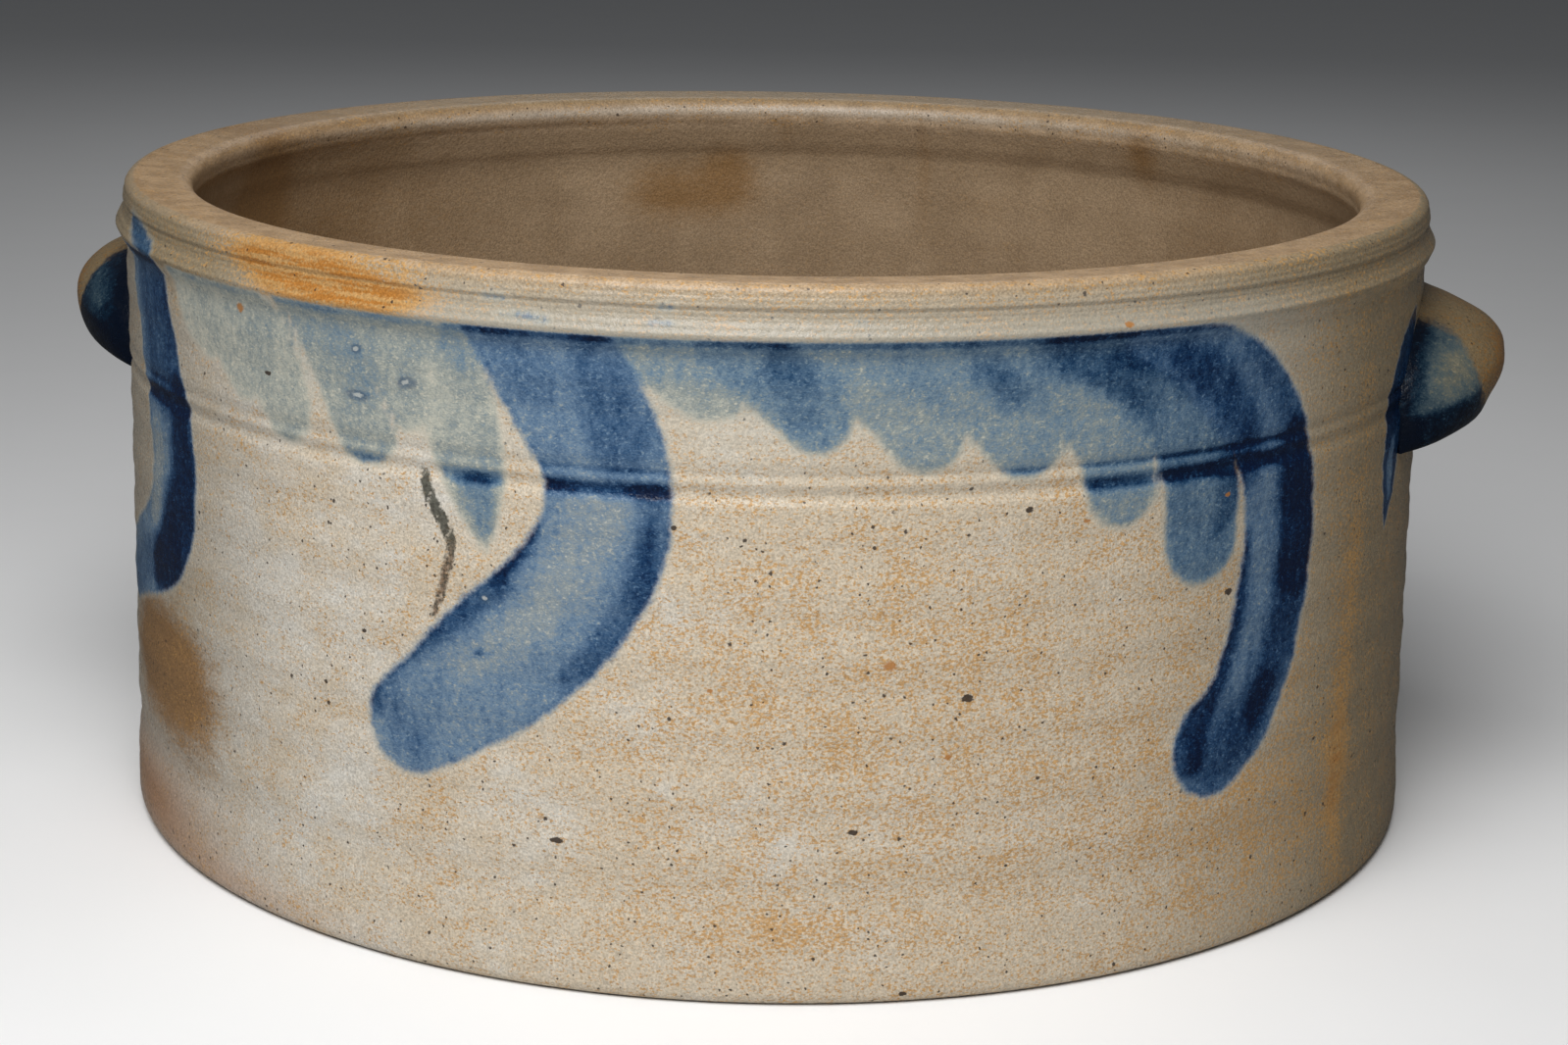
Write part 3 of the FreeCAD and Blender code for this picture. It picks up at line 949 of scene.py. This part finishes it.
def outer_toast_and_shade(angle, level):
    """How much the outside is darkened to brown, partly by the kiln and partly as painted shade on the
    sides turned from the light: most at the sides, some on the rim's band.
    """
    right_side = ramp_up(angle, 28.0, 56.0) * ramp_up(angle, 150.0, 90.0)
    left_side = ramp_up(angle, -40.0, -60.0) * ramp_up(angle, -140.0, -100.0)
    left_side = left_side * np.clip(0.2 + level / 60.0, 0.0, 1.0)
    band = ramp_up(level, 147.0, 149.0) * ramp_up(level, 159.0, 156.0)
    bead = bump(level, BAND_BOTTOM + 4.0, 2.6)
    lip_edge = bump(level, HEIGHT - 2.0, 1.0)
    toast = 0.97 * right_side + 0.62 * left_side + 0.56 * band + 0.30 * bead + 0.25 * lip_edge
    return np.clip(toast, 0.0, 0.97)


def make_body():
    """The thrown pot as one closed skin, from the underside round the rim to the inner floor."""
    angle, level, radius, outside = body_grid()
    turn = np.radians(angle + FRONT_TURN)
    points = np.stack([radius * np.sin(turn), -radius * np.cos(turn), level], -1) * MM
    base_hub = (0.0, 0.0, BASE_HOLLOW * MM)
    floor_hub = (0.0, 0.0, FLOOR_HEIGHT * MM)
    mesh = grid_mesh("thrown_body", points, base_hub, floor_hub)

    angle, level, radius, outside = (a.reshape(-1) for a in (angle, level, radius, outside))
    fields = brush_fields(angle, level)
    on_wall = outside & (radius > WALL_RADIUS - 3.0)
    for name in fields:
        if name.endswith("_edge"):
            fields[name] = np.where(on_wall, fields[name], -NO_PAINT)
    fields.update(clay_fields(angle, level, outside))
    for name, values in fields.items():
        store(mesh, name, np.append(values, [values[0], values[-1]]))
    return finish_piece(mesh, "thrown_body", body_material(), "crock_body")


# Lugs: angles in degrees, sizes in mm
LUG_HALF_ANGLE = 15.0
LUG_REACH = 20.3
LUG_END_REACH = 0.8
LUG_DROOP = 23.0          # fall of the upper root from the middle to the ends
LUG_NOSE_SAG = 12.0       # fall of the nose from the middle to the ends
LUG_LIP_SAG = 3.0         # fall of the lower lip from the middle to the ends
LUG_HOLLOW = 7.0          # depth of the finger hollow
LUG_EMBED = 3.5           # sections start this far inside the wall
# How fast a lug's reach falls away from its middle: (1 - spread ** power) ** root
REACH_POWER = 2.3
REACH_ROOT = 0.75
# Points of a lug's section: (share of the reach, share of the way down that stretch)
LUG_BACK = ((0.12, 0.04), (0.42, 0.20), (0.80, 0.52))   # from the upper root to the nose
LUG_FRONT = ((0.86, 0.70), (0.55, 1.0))                 # from the nose to the lower lip
LUG_HOLLOW_REACH = 0.28   # half way up the finger hollow
LUG_STATIONS = 57
LUG_LAST_SPREAD = 0.9995  # keeps the end sections from shrinking to nothing
RIGHT_LUG = (136.5, 121.5, 106.0)     # upper root, nose and lower lip
LEFT_LUG = (139.0, 126.0, 112.0)
RIGHT_PAINT = (17.0, 0.0)             # reach of the paint, and how much darker it is made, as painted shade
LEFT_PAINT = (18.5, 0.38)
# Top edge of the paint on the right lug: (reach, height)
PAINT_TOP = [(0.0, 133.0), (5.0, 131.5), (10.0, 128.5), (14.0, 124.0), (16.5, 118.5), (18.0, 110.0)]


def lug_section(spread, heights):
    """(reach from the wall, height) control points of a lug's section, where spread is 0 to 1."""
    top, nose, lip = heights
    reach = LUG_END_REACH + LUG_REACH * (1.0 - spread ** REACH_POWER) ** REACH_ROOT
    top -= LUG_DROOP * (1.0 - math.sqrt(1.0 - spread ** 2))
    nose -= LUG_NOSE_SAG * spread ** 2
    lip -= LUG_LIP_SAG * spread ** 2
    hollow = lip + LUG_HOLLOW * (1.0 - spread ** 2)
    root = [(-LUG_EMBED, top + 1.2), (-0.8, top + 0.6)]
    back = [(out * reach, top - down * (top - nose)) for out, down in LUG_BACK]
    front = [(out * reach, nose - down * (nose - lip)) for out, down in LUG_FRONT]
    underside = [(LUG_HOLLOW_REACH * reach, (lip + hollow) / 2.0), (-LUG_EMBED, hollow)]
    return root + back + [(reach, nose)] + front + underside


def lug_grid(heights):
    """Angle from the lug's middle (radians), reach and height of every vertex on a lug."""
    steps = [2 * i / (LUG_STATIONS - 1) - 1 for i in range(LUG_STATIONS)]
    spreads = [math.sin(math.pi / 2 * step) for step in steps]
    rows = []
    for spread in spreads:
        clear = min(abs(spread), LUG_LAST_SPREAD)
        rows.append(curve_through(lug_section(clear, heights), 6))
    section = np.array(rows)
    turn = np.radians(np.array(spreads) * LUG_HALF_ANGLE)[:, None]
    return turn, section[..., 0], section[..., 1]


def lug_fields(reach, level, nose, paint):
    """Every value that the lugs' material reads."""
    paint_reach, darker = paint
    paint_top = np.interp(reach, *zip(*PAINT_TOP)) + nose - RIGHT_LUG[1]
    # painted highlight: pale makes the paint paler in the middle of the lug's face
    pale = bump(np.hypot((reach - 11.0) / 5.0, (level - nose - 0.5) / 6.5), 0.0, 1.0)
    low_line = nose - 11.0 + 0.38 * reach
    low = np.clip((low_line - level) / 2.0 + 0.5, 0.0, 1.0)
    root = ramp_up(reach, 5.5, 1.5)
    return {
        "paint_edge": np.minimum(paint_top - level, paint_reach - reach),
        # low and root darken the lower edge and the root by the wall, partly pooled cobalt and partly
        # painted shade; darker is painted shade over the whole lug
        "paint_strength": 0.64 - 0.30 * pale + 0.34 * low + 0.36 * root + darker,
        "rust": ramp_up(reach, 15.0, 20.0),
    }


def make_lug(name, node, side, heights, paint, material):
    """Hood-shaped lug, pressed to the wall at both ends and hollow under its front edge."""
    turn, reach, level = lug_grid(heights)
    dent = 0.35 * np.sin(turn * 21.0 + level * 0.11) + 0.25 * np.sin(level * 0.35 + turn * 40.0)
    radius = WALL_RADIUS + reach + dent * ramp_up(reach, 0.0, 8.0)
    points = np.stack([side * radius * np.cos(turn), side * radius * np.sin(turn), level], -1) * MM
    mesh = grid_mesh(name, points, points[0].mean(axis=0), points[-1].mean(axis=0))
    for label, values in lug_fields(reach, level, heights[1], paint).items():
        store(mesh, label, np.append(values.reshape(-1), [values[0].mean(), values[-1].mean()]))
    return finish_piece(mesh, name, material, node)


# ---------------------------------------------------------------- stage, light and camera

CAMERA_DISTANCE = 794.7   # mm from the crock's axis, along the floor
CAMERA_HEIGHT = 276.0
CAMERA_PITCH = 14.83      # degrees down
CAMERA_YAW = 0.23
CAMERA_ROLL = 0.94
CAMERA_LENS = 71.15       # mm
SENSOR_WIDTH = 36.0       # mm

# Stage, in metres and watts
FLOOR_HALF = 12.0
FLOOR_PALE = rgb(0.86, 0.86, 0.86)
FLOOR_PALEST = rgb(0.88, 0.88, 0.88)
FLOOR_ROUGHNESS = 0.7
WORLD_COLOUR = rgb(0.75, 0.78, 0.82)
WORLD_STRENGTH = 0.075
LIGHT_TARGET = (0.0, 0.0, 0.06)
LIGHT_SIZE = 0.6
KEY_PLACE = (-0.015, -0.58, 0.76)
KEY_POWER = 9.4
BACK_PLACE = (-0.17, 1.1, 0.9)
BACK_POWER = 1.3


def make_camera():
    """Camera that looks slightly down at the decorated front."""
    turn = math.radians(FRONT_TURN)
    data = bpy.data.cameras.new("camera")
    data.sensor_width = SENSOR_WIDTH
    data.lens = CAMERA_LENS
    camera = bpy.data.objects.new("camera", data)
    bpy.context.scene.collection.objects.link(camera)
    pitch, yaw, roll = (math.radians(a) for a in (CAMERA_PITCH, CAMERA_YAW, CAMERA_ROLL))
    look = (Matrix.Rotation(turn - yaw, 4, "Z") @ Matrix.Rotation(math.pi / 2 - pitch, 4, "X")
            @ Matrix.Rotation(roll, 4, "Z"))
    place = Vector((math.sin(turn), -math.cos(turn), 0.0)) * CAMERA_DISTANCE * MM
    place.z = CAMERA_HEIGHT * MM
    camera.matrix_world = Matrix.Translation(place) @ look
    bpy.context.scene.camera = camera


def make_light(name, place, size, power):
    """Square soft light that faces the crock."""
    data = bpy.data.lights.new(name, "AREA")
    data.size = size
    data.energy = power
    light = bpy.data.objects.new(name, data)
    bpy.context.scene.collection.objects.link(light)
    light.location = place
    aim = Vector(LIGHT_TARGET) - Vector(place)
    light.rotation_euler = aim.to_track_quat("-Z", "Y").to_euler()
    light.visible_camera = False


def make_stage():
    """Plain pale floor under soft light that fades with distance."""
    half = FLOOR_HALF
    corners = [(-half, -half, 0), (half, -half, 0), (half, half, 0), (-half, half, 0)]
    mesh = bpy.data.meshes.new("floor")
    mesh.from_pydata(corners, [], [(0, 1, 2, 3)])
    floor = bpy.data.objects.new("floor", mesh)
    bpy.context.scene.collection.objects.link(floor)
    s = Shader("floor")
    s.feed(s.surface.inputs["Base Color"], s.mix(s.noise(40.0, 2.0), FLOOR_PALE, FLOOR_PALEST))
    s.surface.inputs["Roughness"].default_value = FLOOR_ROUGHNESS
    mesh.materials.append(s.material)
    floor.visible_glossy = False      # keeps the bright floor out of the glaze's reflections
    world = bpy.data.worlds.new("studio")
    world.use_nodes = True
    background = world.node_tree.nodes["Background"]
    background.inputs["Color"].default_value = WORLD_COLOUR
    background.inputs["Strength"].default_value = WORLD_STRENGTH
    bpy.context.scene.world = world
    make_light("key", KEY_PLACE, LIGHT_SIZE, KEY_POWER)
    make_light("back", BACK_PLACE, LIGHT_SIZE, BACK_POWER)


bpy.context.scene.view_settings.view_transform = "Standard"
lug_glaze = lug_material()
make_body()
make_lug("right_lug", "right_lug_handle", 1, RIGHT_LUG, RIGHT_PAINT, lug_glaze)
make_lug("left_lug", "left_lug_handle", -1, LEFT_LUG, LEFT_PAINT, lug_glaze)
make_camera()
make_stage()
